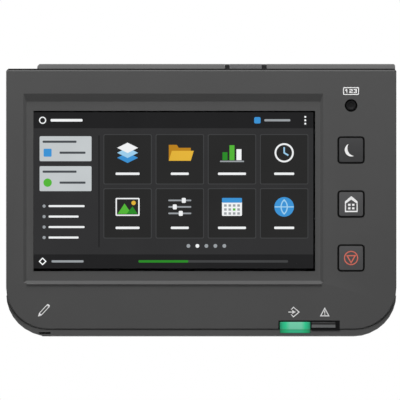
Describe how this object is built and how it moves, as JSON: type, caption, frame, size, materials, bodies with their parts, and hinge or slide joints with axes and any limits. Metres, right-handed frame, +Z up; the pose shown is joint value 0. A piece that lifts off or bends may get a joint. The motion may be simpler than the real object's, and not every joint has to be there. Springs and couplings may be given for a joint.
{
  "type": "copier operation panel",
  "caption": "Dark grey touch-screen operation panel for an office copier, on a tilt hinge with a bolt-on bracket, with side keys, an indicator bar and a pen stowed in its lower edge.",
  "frame": {"origin": "middle of the bracket's rear face, which bolts to the machine", "axes": "+Y into the machine, the screen looks along -Y, +X to the user's right, +Z up"},
  "size_m": [0.3096, 0.0905, 0.2176],
  "materials": {
    "case_plastic": "fine grained moulding",
    "key_plastic": "satin moulding",
    "dark_key_plastic": "satin moulding",
    "black_plastic": "semi-gloss moulding",
    "screen_glass": "clear touch glass over a dark screen",
    "lcd_cell": "dark polariser",
    "diffuser_acrylic": "white diffuser",
    "zinc_steel": "zinc plated",
    "painted_casting": "powder coated die casting",
    "screw_steel": "black oxide",
    "circuit_board": "green solder mask",
    "chip_resin": "moulded resin",
    "connector_nylon": "natural nylon",
    "flat_cable": "polyester film",
    "gasket_foam": "closed cell foam",
    "green_lens": "tinted acrylic, lit",
    "smoked_lens": "smoked acrylic",
    "led_resin": "clear resin"
  },
  "bodies": {
    "mount": {"mount_bracket": "zinc_steel", "hinge_arm": "painted_casting", "arm_screw_1": "screw_steel", "arm_screw_2": "screw_steel", "arm_screw_3": "screw_steel", "arm_screw_4": "screw_steel", "tilt_shaft": "zinc_steel", "shaft_pin": "screw_steel", "thrust_bush_left": "black_plastic", "thrust_bush_right": "black_plastic", "friction_washer_left": "screw_steel", "friction_washer_right": "screw_steel", "lock_nut_left": "zinc_steel", "lock_nut_right": "zinc_steel"},
    "panel": {"front_cover": "case_plastic", "rear_cover": "case_plastic", "chassis_plate": "zinc_steel", "screen_gasket": "gasket_foam", "touch_glass": "screen_glass", "lcd_cell": "lcd_cell", "lcd_backlight": "diffuser_acrylic", "lcd_tray": "zinc_steel", "hinge_leaf_left": "zinc_steel", "hinge_leaf_right": "zinc_steel", "main_board": "circuit_board", "processor_chip": "chip_resin", "memory_chip": "chip_resin", "lcd_connector": "connector_nylon", "key_connector": "connector_nylon", "buzzer": "black_plastic", "key_board": "circuit_board", "key_board_connector": "connector_nylon", "energy_switch": "black_plastic", "home_switch": "black_plastic", "stop_switch": "black_plastic", "counter_switch": "black_plastic", "data_led": "led_resin", "error_led": "led_resin", "indicator_frame": "black_plastic", "data_lens": "green_lens", "error_lens": "smoked_lens", "lcd_cable": "flat_cable", "key_cable": "flat_cable", "pen_tube": "black_plastic", "rear_screw_1": "screw_steel", "rear_screw_2": "screw_steel", "rear_screw_3": "screw_steel", "rear_screw_4": "screw_steel"},
    "energy_button": {"energy_key": "dark_key_plastic", "energy_plunger": "black_plastic"},
    "home_button": {"home_key": "key_plastic", "home_plunger": "black_plastic"},
    "stop_button": {"stop_key": "key_plastic", "stop_plunger": "black_plastic"},
    "counter_button": {"counter_key": "black_plastic", "counter_plunger": "black_plastic"},
    "pen": {"pen_barrel": "dark_key_plastic", "pen_nib": "black_plastic", "pen_tail": "black_plastic"}
  },
  "joints": [
    {"name": "panel_tilt", "type": "hinge", "parent": "mount", "child": "panel", "pos_m": [0, -0.062, 0.034], "axis": [-1, 0, 0], "range_deg": [0, 75]},
    {"name": "energy_press", "type": "slide", "parent": "panel", "child": "energy_button", "axis": [0, 1, 0], "range_m": [0, 0.0008], "stiffness_N_per_m": 800, "springref_m": -0.0008},
    {"name": "home_press", "type": "slide", "parent": "panel", "child": "home_button", "axis": [0, 1, 0], "range_m": [0, 0.0008], "stiffness_N_per_m": 800, "springref_m": -0.0008},
    {"name": "stop_press", "type": "slide", "parent": "panel", "child": "stop_button", "axis": [0, 1, 0], "range_m": [0, 0.0008], "stiffness_N_per_m": 800, "springref_m": -0.0008},
    {"name": "counter_press", "type": "slide", "parent": "panel", "child": "counter_button", "axis": [0, 1, 0], "range_m": [0, 0.0008], "stiffness_N_per_m": 800, "springref_m": -0.0008},
    {"name": "pen_pull", "type": "slide", "parent": "panel", "child": "pen", "axis": [0, 0, -1], "range_m": [0, 0.095]}
  ]
}
